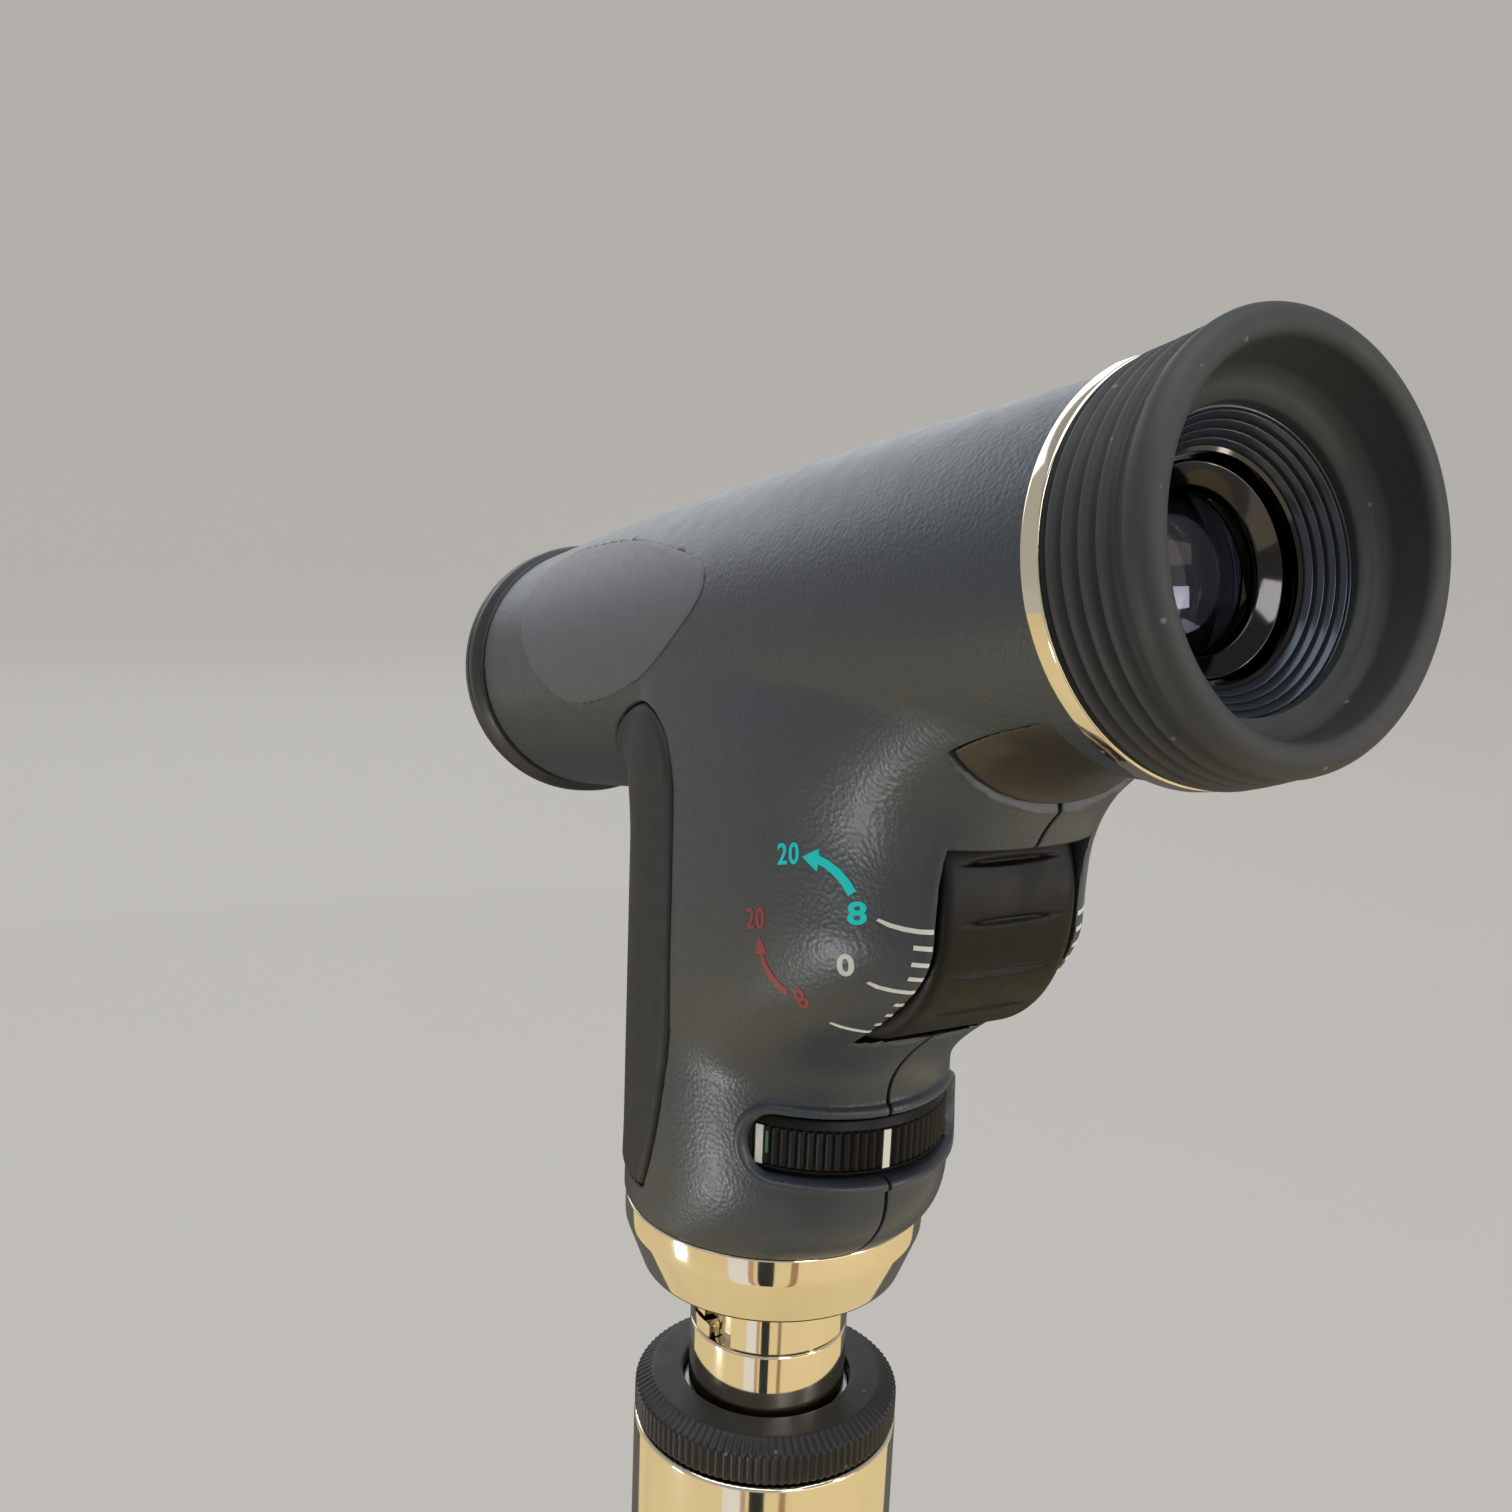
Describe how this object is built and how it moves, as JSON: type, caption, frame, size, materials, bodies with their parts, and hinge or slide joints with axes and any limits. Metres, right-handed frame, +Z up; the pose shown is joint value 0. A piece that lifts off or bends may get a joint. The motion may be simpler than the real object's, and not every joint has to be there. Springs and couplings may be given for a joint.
{
  "type": "ophthalmoscope",
  "caption": "Hand-held panoramic ophthalmoscope: optical barrel with rubber eyecup, focus wheel and aperture dial on a bayonet battery handle.",
  "frame": {"origin": "centre of the flat face under the handle", "axes": "+Z up the handle, +Y towards the patient (objective end), -Y towards the examiner (eyecup end), +X to the examiner's right"},
  "size_m": [0.0326, 0.1297, 0.2461],
  "materials": {
    "shell_plastic": "satin with a fine leather-like grain",
    "grip_rubber": "matt",
    "cup_rubber": "matt",
    "chrome": "bright plated",
    "tube_metal": "satin plated",
    "sleeve": "matt ribbed",
    "ring_plastic": "satin",
    "wheel_plastic": "satin",
    "button_plastic": "gloss",
    "black_anodised": "satin black",
    "grey_eyepiece": "gloss grey",
    "label_film": "frosted",
    "label_metal": "glossy bronze brown",
    "steel": "machined",
    "spring_steel": "drawn wire",
    "brass": "bright",
    "aluminium": "turned",
    "insulator": "moulded",
    "battery_wrap": "shrink wrap",
    "track_carbon": "resistive film",
    "glass": "coated",
    "lamp_glass": "clear",
    "green_glass": "tinted",
    "blue_glass": "tinted",
    "mirror_glass": "front silvered"
  },
  "bodies": {
    "handle": {"base_cap": "tube_metal", "charge_contact": "brass", "charge_insulator": "ring_plastic", "battery_spring": "spring_steel", "battery": "battery_wrap", "handle_tube": "tube_metal", "grip_sleeve": "sleeve", "terminal_disc": "insulator", "terminal_rivet": "brass", "rheostat_track": "track_carbon", "neck": "chrome", "neck_insulator": "insulator", "contact_pin": "brass", "ring_clip": "spring_steel"},
    "head": {"collar": "chrome", "lamp_socket": "insulator", "lamp_base": "brass", "lamp_bulb": "lamp_glass", "housing_left": "shell_plastic", "housing_right": "shell_plastic", "housing_screws": "steel", "front_grip": "grip_rubber", "label_left": "label_film", "label_right": "label_film", "label_under": "label_metal", "neck_frame": "aluminium", "dial_axle": "steel", "detent_plunger": "brass", "condenser_tube": "black_anodised", "condenser_lens": "glass", "front_bulkhead": "aluminium", "rear_bulkhead": "aluminium", "guide_rods": "steel", "mirror_block": "black_anodised", "mirror": "mirror_glass", "front_ring": "black_anodised", "objective_lens": "glass", "objective_retainer": "black_anodised", "rear_ring": "chrome", "eyepiece_barrel": "grey_eyepiece", "eyepiece_lens": "glass", "eyepiece_retainer": "black_anodised", "eyecup": "cup_rubber"},
    "switch_ring": {"switch_ring": "ring_plastic", "rheostat_wiper": "brass", "lock_spring": "spring_steel"},
    "lock_button": {"lock_button": "button_plastic"},
    "focus_wheel": {"focus_wheel": "wheel_plastic", "focus_axle": "steel", "focus_pinion": "brass"},
    "lens_carriage": {"lens_carriage": "black_anodised", "focus_lens": "glass"},
    "aperture_dial": {"aperture_dial": "wheel_plastic", "aperture_disc": "steel", "green_filter": "green_glass", "blue_filter": "blue_glass"}
  },
  "joints": [
    {"name": "head_twist", "type": "hinge", "parent": "handle", "child": "head", "pos_m": [0, 0, 0.1434], "axis": [0, 0, 1], "range_deg": [-25, 0]},
    {"name": "switch_turn", "type": "hinge", "parent": "handle", "child": "switch_ring", "pos_m": [0, 0, 0.1345], "axis": [0, 0, 1], "range_deg": [0, 110]},
    {"name": "lock_press", "type": "slide", "parent": "switch_ring", "child": "lock_button", "axis": [-0.5, -0.866, 0], "range_m": [0, 0.0008], "stiffness_N_per_m": 600, "springref_m": -0.001, "deforming": ["lock_spring"]},
    {"name": "focus_turn", "type": "hinge", "parent": "head", "child": "focus_wheel", "pos_m": [0, -0.0236, 0.2], "axis": [1, 0, 0], "range_deg": [-75, 75]},
    {"name": "lens_slide", "type": "slide", "parent": "head", "child": "lens_carriage", "axis": [0, -0.9796, 0.2011], "range_m": [-0.00392, 0.00392]},
    {"name": "aperture_turn", "type": "hinge", "parent": "head", "child": "aperture_dial", "pos_m": [0, -0.0086, 0.1723], "axis": [0, 0, 1], "continuous": true}
  ],
  "couplings": [
    {"joint": "focus_turn", "follows": "lens_slide", "rad_per_m": 333.33}
  ]
}
